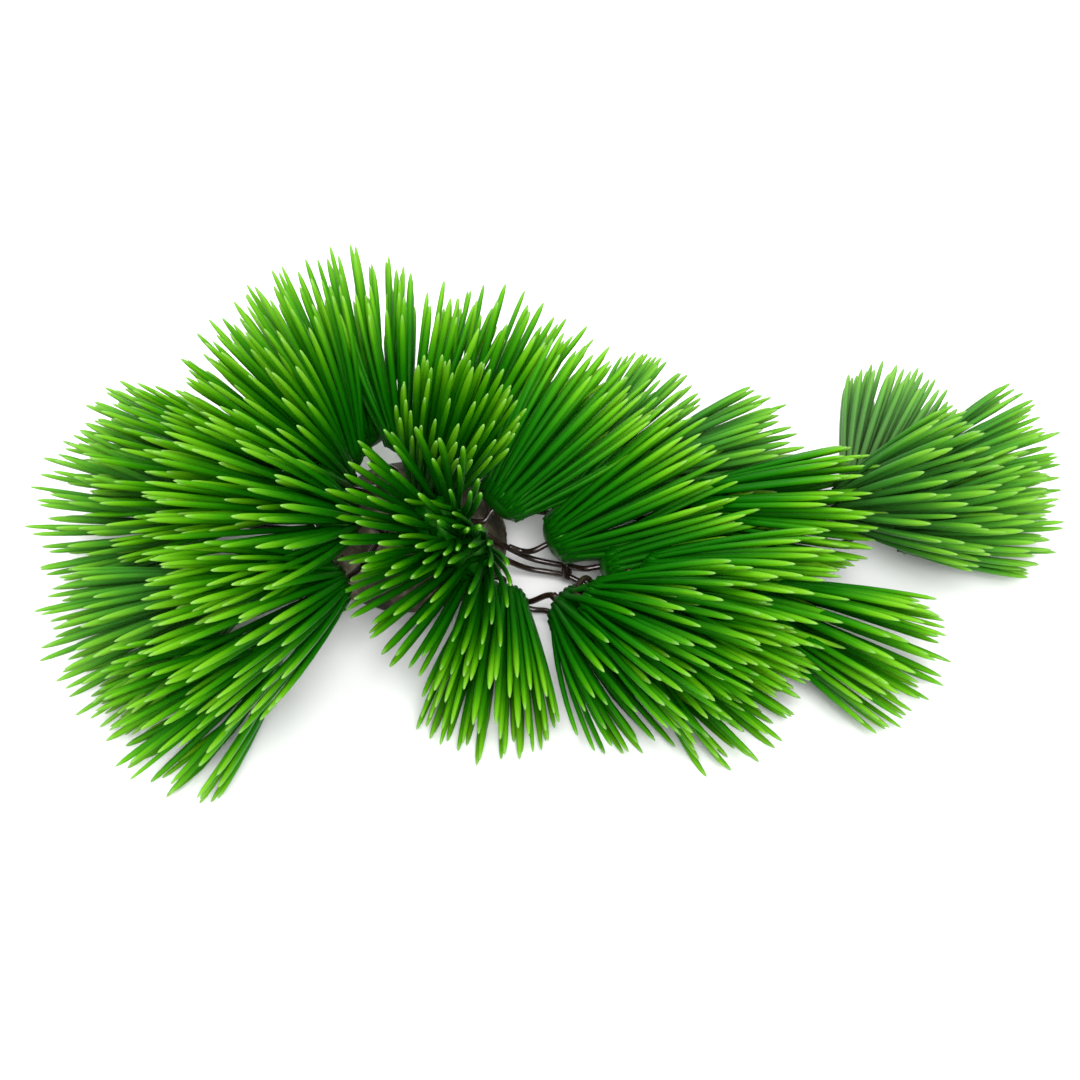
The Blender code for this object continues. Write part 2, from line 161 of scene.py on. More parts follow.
# wire name, start on the stone (azimuth, elevation) or on a wire (name, fraction), points passed in mm,
# tuft at the end
WIRES = (
    ("stem_top_upright", (0, 76), (), "tuft_top_upright"),
    ("stem_top_front", (-82, 60), ((9, -16, 31),), "tuft_top_front"),
    ("stem_top_low", (-44, 40), (), "tuft_top_low"),
    ("stem_front", (-42, 8), (), "tuft_front"),
    ("stem_left_front", (-120, 58), ((-12, -27, 28),), "tuft_left_front"),
    ("stem_left_middle", (-130, 66), ((-6, -22, 36),), "tuft_left_middle"),
    ("stem_left_back", (170, 68), (), "tuft_left_back"),
    ("stem_left_mid", (172, 40), (), "tuft_left_mid"),
    ("stem_back_left", (110, 74), (), "tuft_back_left"),
    ("stem_back_1", (112, 50), (), "tuft_back_1"),
    ("stem_back_2", (85, 70), (), "tuft_back_2"),
    ("stem_back_3", (54, 46), (), "tuft_back_3"),
    ("stem_back_right", (-32, 60), (), "tuft_back_right"),
    ("stem_right_1", (-14, 45), ((20, -8.5, 22.5), (26, -9.5, 17), (31, -9, 12), (36, -9, 8.5),
                                 (42, -10, 7.5), (47, -11.5, 8)), "tuft_right_2"),
    ("stem_right_1_branch", ("stem_right_1", 0.42), (), "tuft_right_3"),
    ("stem_right_2", (-28, 44), ((19.5, -11, 20.5), (25.5, -12, 14.5), (30.5, -11.5, 9.5), (35.5, -11, 6),
                                 (41.5, -11.5, 5), (47, -13, 5), (55, -17, 3.5), (63, -25.5, 8)),
     "tuft_right_1"),
    ("stem_right_3", ("stem_right_2", 0.8), ((57, -27, 14), (52, -27.5, 22)), "tuft_right_front_2"),
    ("stem_right_4", (-40, 2), ((30, -21, 5), (35, -24.5, 7)), "tuft_right_front_1"),
    ("stem_right_5", ("stem_right_4", 0.3), ((36, -24, 3), (41, -25, 3.2), (47, -29, 3), (54, -33, 4),
                                             (78, -32, 5)), "tuft_right_far"),
    ("stem_right_5", ("stem_right_5", 0.5), (), "tuft_right_low"),
    ("stem_back_far", (16, 20), ((38, 10, 8), (60, 9, 8), (74, 2, 14)), "tuft_right_mid"),
    ("stem_back_far_branch_1", ("stem_back_far", 0.25), (), "tuft_right_back_1"),
    ("stem_back_far_branch_2", ("stem_back_far", 0.5), (), "tuft_right_back_2"),
    ("stem_end", ("stem_back_far", 0.68), ((90, -3, 5), (108, -4, 14)), "tuft_end_front"),
    ("stem_end", ("stem_end", 0.45), ((112, 3, 9), (124, 6, 10)), "tuft_end_back"),
    ("stem_end", ("stem_end", 0.3), ((112, 6, 5), (128, 10, 5), (141, 11, 5)), "tuft_end_side"),
    ("stem_end_branch", ("stem_end", 0.7), ((126, -2, 7),), "tuft_end_far"),
    ("stem_left_low_1", (200, 8), (), "tuft_left_low_1"),
    ("stem_left_low_2", (182, 8), (), "tuft_left_low_2"),
    ("stem_left_low_3", (158, 8), (), "tuft_left_low_3"),
    ("stem_left_low_front", (228, 8), (), "tuft_left_low_front"),
)

# material name, shift of its colour along the blade, share of pale; a tuft's tint is a row's number; the pale
# share is painted glare, a washed-out pale green standing for far, overexposed tufts, not their own colour
GREENS = (
    ("green_deep", 0.0, 0.0),
    ("green_soft_glare", 0.02, 0.10),
    ("green_pale_glare", 0.0, 0.30),
    ("green_dark", -0.10, 0.0),
)

# two wires held by a collar, or one wire named twice, and a point in mm near it
COLLARS = (
    ("stem_right_1", "stem_right_2", (47.0, -11.5, 8.0)),
    ("stem_right_4", "stem_right_4", (43.0, -28.8, 14.2)),
)


def unit(v):
    """Vectors divided by their own lengths, along the last axis."""
    v = np.asarray(v, float)
    return v / np.maximum(np.linalg.norm(v, axis=-1, keepdims=True), 1e-12)


def axis_of(azimuth, elevation):
    """Unit vector (cos a cos e, sin a cos e, sin e) for angles in degrees."""
    a, e = math.radians(azimuth), math.radians(elevation)
    return np.array([math.cos(a) * math.cos(e), math.sin(a) * math.cos(e), math.sin(e)])


class Tuft:
    """Place, direction and size of one tuft."""

    def __init__(self, row, number):
        self.name = row[0]
        self.centre = np.array(row[1:4], float) * MM
        self.axis = axis_of(row[4], row[5])
        side = np.cross([0.0, 0.0, 1.0], self.axis) if abs(self.axis[2]) < 0.95 else np.array([1.0, 0.0, 0.0])
        self.side = unit(side - self.axis * (side @ self.axis))
        self.up = np.cross(self.axis, self.side)
        self.length = row[6] * MM
        self.spread = math.radians(row[7])
        self.tint = row[8]
        self.number = number
        self.frame = np.array([self.side, self.up, self.axis])
        self.halves = np.array([1.0, 1.0, CAP_DEPTH]) * CAP_RADIUS

    def back(self, margin):
        """Point behind the middle of the cap."""
        return self.centre - self.axis * (CAP_RADIUS * CAP_DEPTH + margin)


TUFT_LIST = [Tuft(row, number) for number, row in enumerate(TUFTS)]


def mesh_piece(name, points, faces, mat, attributes=None):
    """Smooth-shaded mesh from an array of points and a list of face index arrays, one per corner count.

    Every attribute is an array with one float or one vector for each point."""
    loops = np.concatenate([f.ravel() for f in faces])
    totals = np.concatenate([np.full(len(f), f.shape[1]) for f in faces])
    starts = np.concatenate([[0], np.cumsum(totals)[:-1]])
    mesh = bpy.data.meshes.new(name)
    mesh.vertices.add(len(points))
    mesh.vertices.foreach_set("co", np.asarray(points, np.float32).ravel())
    mesh.loops.add(len(loops))
    mesh.loops.foreach_set("vertex_index", loops.astype(np.int32))
    mesh.polygons.add(len(totals))
    mesh.polygons.foreach_set("loop_start", starts.astype(np.int32))
    mesh.polygons.foreach_set("use_smooth", np.ones(len(totals), bool))
    for key, values in (attributes or {}).items():
        vector = values.ndim == 2
        layer = mesh.attributes.new(key, "FLOAT_VECTOR" if vector else "FLOAT", "POINT")
        layer.data.foreach_set("vector" if vector else "value", np.asarray(values, np.float32).ravel())
    mesh.update(calc_edges=True)
    mesh.validate()
    mesh.materials.append(mat)
    item = bpy.data.objects.new(name, mesh)
    bpy.context.scene.collection.objects.link(item)
    return item


def ring_faces(rings, sides):
    """Quads between rings of points that follow one another, each ring with the same number of sides."""
    i, j = np.meshgrid(np.arange(rings - 1), np.arange(sides), indexing="ij")
    k = (j + 1) % sides
    corners = [i * sides + j, i * sides + k, (i + 1) * sides + k, (i + 1) * sides + j]
    return np.stack(corners, -1).reshape(-1, 4)


def fan_faces(first, sides, pole, flip):
    """Triangles from one ring to a pole point."""
    j = np.arange(sides)
    k = (j + 1) % sides
    fan = np.stack([first + j, first + k, np.full(sides, pole)], -1)
    return fan[:, ::-1] if flip else fan


def ball(rings, sides):
    """Unit ball as rings from the lower pole to the upper one, with quads and two fans of triangles."""
    polar = np.linspace(math.pi, 0.0, rings + 2)[1:-1]
    turn = np.linspace(0.0, 2.0 * math.pi, sides, endpoint=False)
    p, t = np.meshgrid(polar, turn, indexing="ij")
    points = np.stack([np.sin(p) * np.cos(t), np.sin(p) * np.sin(t), np.cos(p)], -1).reshape(-1, 3)
    points = np.vstack([points, [[0, 0, -1], [0, 0, 1]]])
    quads = ring_faces(rings, sides)
    tris = np.vstack([fan_faces(0, sides, rings * sides, True),
                      fan_faces((rings - 1) * sides, sides, rings * sides + 1, False)])
    return points, quads, tris


# blade: places along it as shares of its length, its width there as a share, corners of a section
SECTIONS = np.array([0.0, 0.05, 0.18, 0.36, 0.55, 0.72, 0.85, 0.93, 0.98, 1.0])
WIDTHS = np.array([0.80, 0.92, 0.95, 1.0, 1.0, 0.97, 0.88, 0.67, 0.34, 0.0])
SIDES = 6


def on_cap(polar, turn):
    """Points of a unit cap: a ball of polar angle and turn, its height times the cap's depth."""
    reach = np.sin(polar)
    return np.stack([reach * np.cos(turn), reach * np.sin(turn), CAP_DEPTH * np.cos(polar)], -1)


def spike_lines(tuft, rng):
    """Centre lines of a tuft's spikes.

    Roots stand in rings on the cap, one ring for each polar angle, evenly spaced round it, with a smaller
    share of each ring's count on a thin tuft. The angle between a spike and the tuft's axis is the fan
    angle times the polar angle's share of a right angle, a quarter more at the root and a sixth less at
    the tip, and the line is the running sum of its directions. Its first point lies further back on the
    cap, so that the outer spikes run over its shoulder as ribs."""
    polar = []
    turn = []
    share = THIN_SHARE if tuft.name in THIN_TUFTS else 1.0
    for degrees, full in RINGS:
        p = math.radians(degrees)
        count = round(full * share)
        start = rng.random() * 2.0 * math.pi
        polar.append(np.full(count, p))
        turn.append(start + np.arange(count) * 2.0 * math.pi / count)
    polar = np.concatenate(polar)
    turn = np.concatenate(turn)
    count = len(polar)
    turn = turn + rng.uniform(-TURN_SCATTER, TURN_SCATTER, count)
    root = tuft.centre + ROOT_REACH * CAP_RADIUS * (on_cap(polar, turn) @ tuft.frame)
    behind = polar + math.radians(HEEL_POLAR)
    heel = tuft.centre + HEEL_REACH * CAP_RADIUS * (on_cap(behind, turn) @ tuft.frame)
    outward = polar / RIGHT_ANGLE
    fan = tuft.spread * np.minimum(outward, FAN_LIMIT) * (1.0 + rng.uniform(-FAN_SCATTER, FAN_SCATTER, count))
    fan = fan + rng.uniform(-TILT_SCATTER, TILT_SCATTER, count)
    heading = turn + rng.uniform(-HEADING_SCATTER, HEADING_SCATTER, count)
    bend = rng.uniform(*BEND_RANGE, count)
    length = tuft.length * (1.0 + rng.uniform(*LENGTH_SCATTER, count))
    length = length * (1.0 - OUTER_SHORT * np.minimum(outward, 1.0) ** 2)
    s = SECTIONS
    middle = 0.5 * (s[1:] + s[:-1])
    tilt = fan[:, None] * (1.0 + bend[:, None] * (ROOT_BEND - BEND_FALL * middle[None, :]))
    across = np.cos(heading)[:, None] * tuft.side + np.sin(heading)[:, None] * tuft.up
    steps = np.cos(tilt)[..., None] * tuft.axis + np.sin(tilt)[..., None] * across[:, None, :]
    steps = steps * (np.diff(s)[None, :, None] * length[:, None, None])
    line = root[:, None, :] + np.concatenate([np.zeros((count, 1, 3)), np.cumsum(steps, axis=1)], axis=1)
    line[:, 0] = heel
    return line, across


def keep_clear(line, tuft):
    """Lines moved out of the stone, the other caps and the floor, the root left in place.

    A point inside an ellipsoid moves along its own radius to the surface, and each move is shared with
    the next points of the same line."""
    s = SECTIONS[None, :, None]
    home = line.copy()
    balls = [(np.array([0.0, 0.0, STONE_CENTRE_Z]), np.eye(3),
              STONE_HALVES * STONE_SHARE + SPIKE_WIDTH * 0.5)]
    for other in TUFT_LIST:
        if other is not tuft and np.linalg.norm(other.centre - tuft.centre) < tuft.length + 3.0 * CAP_RADIUS:
            balls.append((other.centre, other.frame, other.halves + SPIKE_WIDTH * 0.5))
    for _ in range(PUSH_ROUNDS):
        for centre, axes, halves in balls:
            local = ((line - centre) @ axes.T) / halves
            far = np.linalg.norm(local, axis=-1, keepdims=True)
            push = np.where(far < 1.0, 1.0 / np.maximum(far, PUSH_CORE) - 1.0, 0.0)
            line = line + ((local * push * halves) @ axes) * np.minimum(s * PUSH_RISE, 1.0)
        shift = line - home
        shift[:, 1:-1] = 0.25 * shift[:, :-2] + 0.5 * shift[:, 1:-1] + 0.25 * shift[:, 2:]
        line = home + shift
    lift = FLOOR_LIFT + FLOOR_UNEVEN * np.sin(FLOOR_WAVE * home[:, -1:, 0] / MM)
    low = np.maximum(lift - line[..., 2], 0.0)
    line[..., 2] = line[..., 2] + low
    return line


def spike_mesh(line, across, rng):
    """Points and faces of blades along the lines.

    Each section is a flat hexagon: width times the cosine and thickness times the sine of six angles,
    set square to the line and turned by a small angle of its own for each blade. The width is held to the
    last fifth of the length, then falls along a rounded tip."""
    count = len(line)
    tangent = unit(np.gradient(line, axis=1))
    radial = across[:, None, :]
    side = unit(np.cross(tangent, radial))
    face = np.cross(side, tangent)
    roll = rng.uniform(-ROLL_SCATTER, ROLL_SCATTER, count)[:, None, None]
    side, face = side * np.cos(roll) + face * np.sin(roll), face * np.cos(roll) - side * np.sin(roll)
    size = (1.0 + rng.uniform(-SIZE_SCATTER, SIZE_SCATTER, count))[:, None]
    width = 0.5 * SPIKE_WIDTH * size * WIDTHS[None, :]
    thick = 0.5 * SPIKE_THICKNESS * size * WIDTHS[None, :] ** 0.7
    angle = np.arange(SIDES) * 2.0 * math.pi / SIDES
    rings = (line[:, :-1, None, :]
             + side[:, :-1, None, :] * (width[:, :-1, None] * np.cos(angle))[..., None]
             + face[:, :-1, None, :] * (thick[:, :-1, None] * np.sin(angle))[..., None])
    rings = rings.reshape(count, -1, 3)
    points = np.concatenate([rings, line[:, -1:, :]], axis=1)
    per = points.shape[1]
    ring_count = len(SECTIONS) - 1
    offset = (np.arange(count) * per)[:, None, None]
    quads = (ring_faces(ring_count, SIDES)[None] + offset).reshape(-1, 4)
    tris = (fan_faces((ring_count - 1) * SIDES, SIDES, per - 1, False)[None] + offset).reshape(-1, 3)
    roots = (np.arange(SIDES)[::-1][None, None] + offset).reshape(-1, SIDES)
    along = np.concatenate([np.repeat(SECTIONS[:-1], SIDES), [1.0]])
    along = np.tile(along, count)
    circle = np.stack([np.cos(angle), np.sin(angle)], -1)
    around = np.concatenate([np.tile(circle, (ring_count, 1)), [[0.0, 0.0]]])
    own = np.repeat(rng.random(count), per)
    strand = np.concatenate([np.tile(around, (count, 1)), own[:, None]], axis=1)
    return points.reshape(-1, 3), quads, tris, roots, along, strand


def build_tuft(tuft, mat):
    """Closed dome with all its blades in one mesh.

    The dome is a flattened ball whose radius follows a sine round it, one wave for each of its ribs."""
    rng = np.random.default_rng(SPIKE_SEED + tuft.number)
    line, across = spike_lines(tuft, rng)
    line = keep_clear(line, tuft)
    points, quads, tris, roots, along, strand = spike_mesh(line, across, rng)
    dome, dome_quads, dome_tris = ball(DOME_RINGS, DOME_SIDES)
    seam = 1.0 + DOME_SEAM * np.sin(DOME_RIBS * np.arctan2(dome[:, 1], dome[:, 0]) + tuft.number)
    dome = tuft.centre + (dome * seam[:, None] * tuft.halves) @ tuft.frame
    start = len(points)
    points = np.vstack([points, dome])
    points[:, 2] = np.maximum(points[:, 2], FLOOR_SKIN)
    along = np.concatenate([along, np.full(len(dome), DOME_ALONG)])
    strand = np.vstack([strand, np.tile([0.0, 0.0, 0.5], (len(dome), 1))])
    faces = [np.vstack([quads, dome_quads + start]), np.vstack([tris, dome_tris + start]), roots]
    piece = mesh_piece(tuft.name + "_spikes", points, faces, mat, {"along": along, "strand": strand})
    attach(piece, ROOT)
    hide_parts(tuft.name)


def stone_point(azimuth, elevation, lift):
    """Point where a ray from the stone's middle leaves it, moved out by the lift."""
    d = axis_of(azimuth, elevation)
    reach = 1.0 / math.sqrt(np.sum((d / STONE_HALVES) ** 2))
    return np.array([0.0, 0.0, STONE_CENTRE_Z]) + d * (reach + lift)


def smooth_path(points, steps):
    """Cubic Hermite line through the points.

    The tangent at a point is the chord of its two neighbours, made as long as the span it is used for."""
    pts = np.array(points, float)
    ends = np.vstack([pts[0], pts, pts[-1]])
    heading = unit(ends[2:] - ends[:-2])
    size = np.linalg.norm(np.diff(pts, axis=0), axis=1)[:, None, None]
    t = np.linspace(0.0, 1.0, steps, endpoint=False)[None, :, None]
    out = ((2 * t ** 3 - 3 * t ** 2 + 1) * pts[:-1, None]
           + (t ** 3 - 2 * t ** 2 + t) * size * heading[:-1, None]
           + (3 * t ** 2 - 2 * t ** 3) * pts[1:, None] + (t ** 3 - t ** 2) * size * heading[1:, None])
    return np.vstack([out.reshape(-1, 3), pts[-1:]])


def wire_lines():
    """Rows of name, radius and centre line for every wire.

    Each line runs from inside what it starts from, through its points, to inside its cap."""
    ends = {t.name: t for t in TUFT_LIST}
    lines = []
    for name, start, via, tuft in WIRES:
        end = ends[tuft]
        before = end.back(WIRE_GAP + WIRE_STRAIGHT)
        middle = [np.array(p, float) * MM for p in via]
        radius = WIRE_RADIUS
        lead = []
        if isinstance(start[0], str):
            trunk = next(line for other, _, line in lines if other == start[0])
            at = start[1] * (len(trunk) - 1)
            i = min(int(at), len(trunk) - 2)
            first = trunk[i] + (at - i) * (trunk[i + 1] - trunk[i])
            if start[0] == name:
                radius = BRANCH_RADIUS
            else:
                tangent = unit(trunk[i + 1] - trunk[i])
                aim = (middle + [before])[0] - first
                aim = unit(aim - tangent * (aim @ tangent))
                lead = [first - tangent * WIRE_LEAD + aim * WIRE_ASIDE * WIRE_RADIUS]
                first = first + aim * (2.0 * WIRE_RADIUS + WIRE_GAP)
        else:
            lead = [stone_point(start[0], start[1], -WIRE_INTO_STONE)]
            first = stone_point(start[0], start[1], WIRE_GAP)
        finish = [before, end.back(WIRE_GAP), end.back(-WIRE_INTO_CAP)]
        lines.append((name, radius, smooth_path(lead + [first] + middle + finish, WIRE_STEPS)))
    return lines


def tube(line, radius):
    """Round tube: a circle of the given radius carried along the line, closed by a fan at each end.

    The circle's first axis is square to the tangent and to the direction that the line turns least about."""
    tangent = unit(np.gradient(line, axis=0))
    _, _, basis = np.linalg.svd(tangent, full_matrices=True)
    steady = basis[2]
    side = unit(np.cross(tangent, steady))
    face = np.cross(tangent, side)
    turn = np.arange(WIRE_SIDES) * 2.0 * math.pi / WIRE_SIDES
    radius = np.broadcast_to(np.asarray(radius, float), (len(line),))[:, None, None]
    rings = line[:, None, :] + radius * (side[:, None, :] * np.cos(turn)[None, :, None]
                                         + face[:, None, :] * np.sin(turn)[None, :, None])
    points = np.vstack([rings.reshape(-1, 3), line[:1], line[-1:]])
    last = len(line) * WIRE_SIDES
    tris = np.vstack([fan_faces(0, WIRE_SIDES, last, True),
                      fan_faces(last - WIRE_SIDES, WIRE_SIDES, last + 1, False)])
    return points, ring_faces(len(line), WIRE_SIDES), tris


def collar(first, second, place):
    """Closed oval ring round two wires, or round one, where they pass a place.

    Its section is a circle of the wire's radius plus the wall, stretched along the line between the two
    wires until it holds both; at each end the wall falls to a fifth."""
    a = first[np.argmin(np.linalg.norm(first - place, axis=1))]
    b = second[np.argmin(np.linalg.norm(second - a, axis=1))]
    i = int(np.argmin(np.linalg.norm(first - a, axis=1)))
    along = unit(first[i + 1] - first[i - 1])
    apart = b - a
    apart = apart - along * (apart @ along)
    half = 0.5 * np.linalg.norm(apart)
    apart = unit(apart) if half > 0.0 else unit(np.cross(along, [0.0, 0.0, 1.0]))
    across = np.cross(along, apart)
    turn = np.arange(COLLAR_SIDES) * 2.0 * math.pi / COLLAR_SIDES
    grow = WIRE_RADIUS + COLLAR_WALLS
    flat = np.sign(np.cos(turn)) * half
    rings = (0.5 * (a + b) + along * COLLAR_PLACES[:, None, None]
             + apart * (flat[None, :] + grow[:, None] * np.cos(turn)[None, :])[..., None]
             + across * (grow[:, None] * np.sin(turn)[None, :])[..., None])
    poles = 0.5 * (a + b) + along * COLLAR_PLACES[[0, -1], None]
    points = np.vstack([rings.reshape(-1, 3), poles])
    last = len(COLLAR_PLACES) * COLLAR_SIDES
    tris = np.vstack([fan_faces(0, COLLAR_SIDES, last, True),
                      fan_faces(last - COLLAR_SIDES, COLLAR_SIDES, last + 1, False)])
    return points, ring_faces(len(COLLAR_PLACES), COLLAR_SIDES), tris


def build_collars(mat):
    """One collar for each row of COLLARS, round the main lines of the wires it names."""
    lines = {}
    for name, _, line in wire_lines():
        lines.setdefault(name, line)
    for number, (first, second, place) in enumerate(COLLARS):
        points, quads, tris = collar(lines[first], lines[second], np.array(place) * MM)
        piece = mesh_piece("stem_collar_%d" % (number + 1), points, [quads, tris], mat)
        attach(piece, ROOT)


def build_stems(mat):
    """One mesh for each stem node, its wire and its side branches together."""
    groups = {}
    for name, radius, line in wire_lines():
        groups.setdefault(name, []).append(tube(line, radius))
    for name, tubes in groups.items():
        points = []
        quads = []
        tris = []
        start = 0
        for p, q, t in tubes:
            points.append(p)
            quads.append(q + start)
            tris.append(t + start)
            start += len(p)
        piece = mesh_piece(name + "_wire", np.vstack(points), [np.vstack(quads), np.vstack(tris)], mat)
        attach(piece, ROOT)
        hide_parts(name)


def stone_grow(x, y, z):
    """Share of the radius at a point of the unit ball: sines of the coordinates, coarse then fine."""
    lumps = (np.sin(3.1 * x + 1.3) * np.sin(2.7 * y + 0.4)
             + 0.6 * np.sin(6.3 * x - 2.0 * z) * np.sin(5.9 * y + 1.1)
             + 0.4 * np.sin(9.0 * z + 4.0 * x))
    fine = (np.sin(17.0 * x + 5.0 * y) * np.sin(15.0 * y - 9.0 * z + 0.7)
            + 0.7 * np.sin(27.0 * z + 11.0 * x) * np.sin(25.0 * y + 2.0)
            + 0.5 * np.sin(41.0 * x - 19.0 * z) * np.sin(37.0 * y + 23.0 * z))
    return 1.0 - STONE_LUMP * (0.5 - 0.25 * lumps) + STONE_FINE * fine


def build_stone(mat):
    """Ball stretched to the stone's half sizes and lumped, every point below the floor raised to it."""
    points, quads, tris = ball(STONE_RINGS, STONE_SIDES)
    grow = stone_grow(points[:, 0], points[:, 1], points[:, 2])
    points = points * STONE_HALVES * grow[:, None]
    points[:, 2] = np.maximum(points[:, 2] + STONE_CENTRE_Z, 0.0)
    piece = mesh_piece("stone_foot", points, [quads, tris], mat)
    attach(piece, ROOT)
    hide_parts("stone")


def node_group(name, inputs, outputs):
    """Empty shader node group with named float, vector or colour sockets."""
    group = bpy.data.node_groups.new(name, "ShaderNodeTree")
    for label, kind, value in inputs:
        socket = group.interface.new_socket(label, in_out="INPUT", socket_type="NodeSocket" + kind)
        if value is not None:
            socket.default_value = value
    for label, kind in outputs:
        group.interface.new_socket(label, in_out="OUTPUT", socket_type="NodeSocket" + kind)
    return group, group.nodes.new("NodeGroupInput"), group.nodes.new("NodeGroupOutput")


def math_node(tree, operation, a, b=None, clamp=False):
    """Math node fed by sockets or plain numbers; returns its output."""
    node = tree.nodes.new("ShaderNodeMath")
    node.operation = operation
    node.use_clamp = clamp
    for socket, value in zip(node.inputs, (a, b)):
        if value is None:
            continue
        if isinstance(value, (int, float)):
            socket.default_value = value
        else:
            tree.links.new(value, socket)
    return node.outputs[0]


def mix_colour(tree, factor, a, b, blend="MIX"):
    """Colour mix node fed by sockets or plain values; returns its output."""
    node = tree.nodes.new("ShaderNodeMix")
    node.data_type = "RGBA"
    node.blend_type = blend
    for socket, value in ((node.inputs[0], factor), (node.inputs[6], a), (node.inputs[7], b)):
        if isinstance(value, (int, float)):
            socket.default_value = value
        elif isinstance(value, tuple):
            socket.default_value = (*value, 1.0)
        else:
            tree.links.new(value, socket)
    return node.outputs[2]


def noise(tree, vector, scale, detail, roughness=0.5):
    """Noise texture on a vector; returns its factor."""
    node = tree.nodes.new("ShaderNodeTexNoise")
    node.inputs["Scale"].default_value = scale
    node.inputs["Detail"].default_value = detail
    node.inputs["Roughness"].default_value = roughness
    tree.links.new(vector, node.inputs["Vector"])
    return node.outputs[0]


def ramp(tree, factor, stops):
    """Colour ramp with the given (place, colour) stops; returns its colour."""
    node = tree.nodes.new("ShaderNodeValToRGB")
    tree.links.new(factor, node.inputs[0])
    elements = node.color_ramp.elements
    while len(elements) < len(stops):
        elements.new(0.5)
    for element, (place, colour) in zip(elements, stops):
        element.position = place
        element.color = (*colour, 1.0)
    return node.outputs[0]


def principled(name, roughness, **constants):
    """Material with its shader and the constants set on the shader's own sockets."""
    mat = bpy.data.materials.new(name)
    mat.use_nodes = True
    shader = mat.node_tree.nodes["Principled BSDF"]
    shader.inputs["Roughness"].default_value = roughness
    for key, value in constants.items():
        shader.inputs[key.replace("_", " ")].default_value = value
    return mat, mat.node_tree, shader


def link_bump(tree, shader, height, strength, distance):
    """Bump node from a height to the shader's normal."""
    bump = tree.nodes.new("ShaderNodeBump")
    bump.inputs["Strength"].default_value = strength
    bump.inputs["Distance"].default_value = distance
    tree.links.new(height, bump.inputs["Height"])
    tree.links.new(bump.outputs[0], shader.inputs["Normal"])


def blade_group():
    """Colour, roughness and height of a moulded blade from its place along the blade and around it.

    Colour runs from dark at the root to yellow-green near the tip, shifted for each blade by its own
    number, with lengthwise streaks from a noise that is stretched along the blade."""
    group, into, out = node_group(
        "moulded_blade",
        [("Along", "Float", None), ("Strand", "Vector", None),
         ("Shift", "Float", 0.0), ("Painted Glare", "Float", 0.0)],
        [("Color", "Color"), ("Roughness", "Float"), ("Height", "Float")])
    parts = group.nodes.new("ShaderNodeSeparateXYZ")
    group.links.new(into.outputs["Strand"], parts.inputs[0])
    own = parts.outputs["Z"]
    stretch = group.nodes.new("ShaderNodeCombineXYZ")
    group.links.new(math_node(group, "MULTIPLY", parts.outputs["X"], 2.6), stretch.inputs[0])
    group.links.new(math_node(group, "MULTIPLY", parts.outputs["Y"], 2.6), stretch.inputs[1])
    length = math_node(group, "MULTIPLY", into.outputs["Along"], 1.1)
    apart = math_node(group, "MULTIPLY", own, 57.0)
    group.links.new(math_node(group, "ADD", length, apart), stretch.inputs[2])
    streak = noise(group, stretch.outputs[0], 1.6, 3.0, 0.6)
    wave = math_node(group, "SUBTRACT", streak, 0.5)
    place = math_node(group, "ADD", into.outputs["Along"], into.outputs["Shift"])
    scatter = math_node(group, "MULTIPLY", math_node(group, "SUBTRACT", own, 0.5), 0.16)
    place = math_node(group, "ADD", place, scatter)
    place = math_node(group, "ADD", place, math_node(group, "MULTIPLY", wave, 0.22), clamp=True)
    colour = ramp(group, place, (
        (0.00, (0.0012, 0.070, 0.0002)),
        (0.30, (0.0020, 0.085, 0.0002)),
        (0.55, (0.0060, 0.115, 0.0003)),
        (0.75, (0.0280, 0.190, 0.0008)),
        (0.88, (0.0800, 0.290, 0.0030)),
        (1.00, (0.1350, 0.370, 0.0120))))
    # this mix is painted glare: a paler, washed-out green standing for far, overexposed tufts, not a colour
    # of the plastic
    pale = mix_colour(group, into.outputs["Painted Glare"], colour, (0.20, 0.32, 0.13))
    end = group.nodes.new("ShaderNodeMapRange")
    end.inputs["From Min"].default_value = 0.94
    end.inputs["From Max"].default_value = 1.0
    group.links.new(into.outputs["Along"], end.inputs["Value"])
    tip = mix_colour(group, math_node(group, "MULTIPLY", end.outputs[0], 0.4), pale, (0.30, 0.45, 0.18))
    group.links.new(tip, out.inputs["Color"])
    rough = math_node(group, "ADD", math_node(group, "MULTIPLY", streak, 0.25), 0.24)
    group.links.new(rough, out.inputs["Roughness"])
    group.links.new(streak, out.inputs["Height"])
    return group


def blade_material(name, group, shift, pale):
    """Moulded plastic of the tufts, with painted glare mixed in where its pale share is set."""
    mat, tree, shader = principled(name, 0.4, IOR=1.46, Specular_IOR_Level=0.3,
                                   Specular_Tint=(0.35, 1.0, 0.20, 1.0))
    node = tree.nodes.new("ShaderNodeGroup")
    node.node_tree = group
    node.inputs["Shift"].default_value = shift
    node.inputs["Painted Glare"].default_value = pale
    for key, socket, output in (("along", "Along", "Fac"), ("strand", "Strand", "Vector")):
        attribute = tree.nodes.new("ShaderNodeAttribute")
        attribute.attribute_name = key
        tree.links.new(attribute.outputs[output], node.inputs[socket])
    tree.links.new(node.outputs["Color"], shader.inputs["Base Color"])
    tree.links.new(node.outputs["Roughness"], shader.inputs["Roughness"])
    link_bump(tree, shader, node.outputs["Height"], 0.5, 0.25 * MM)
    return mat


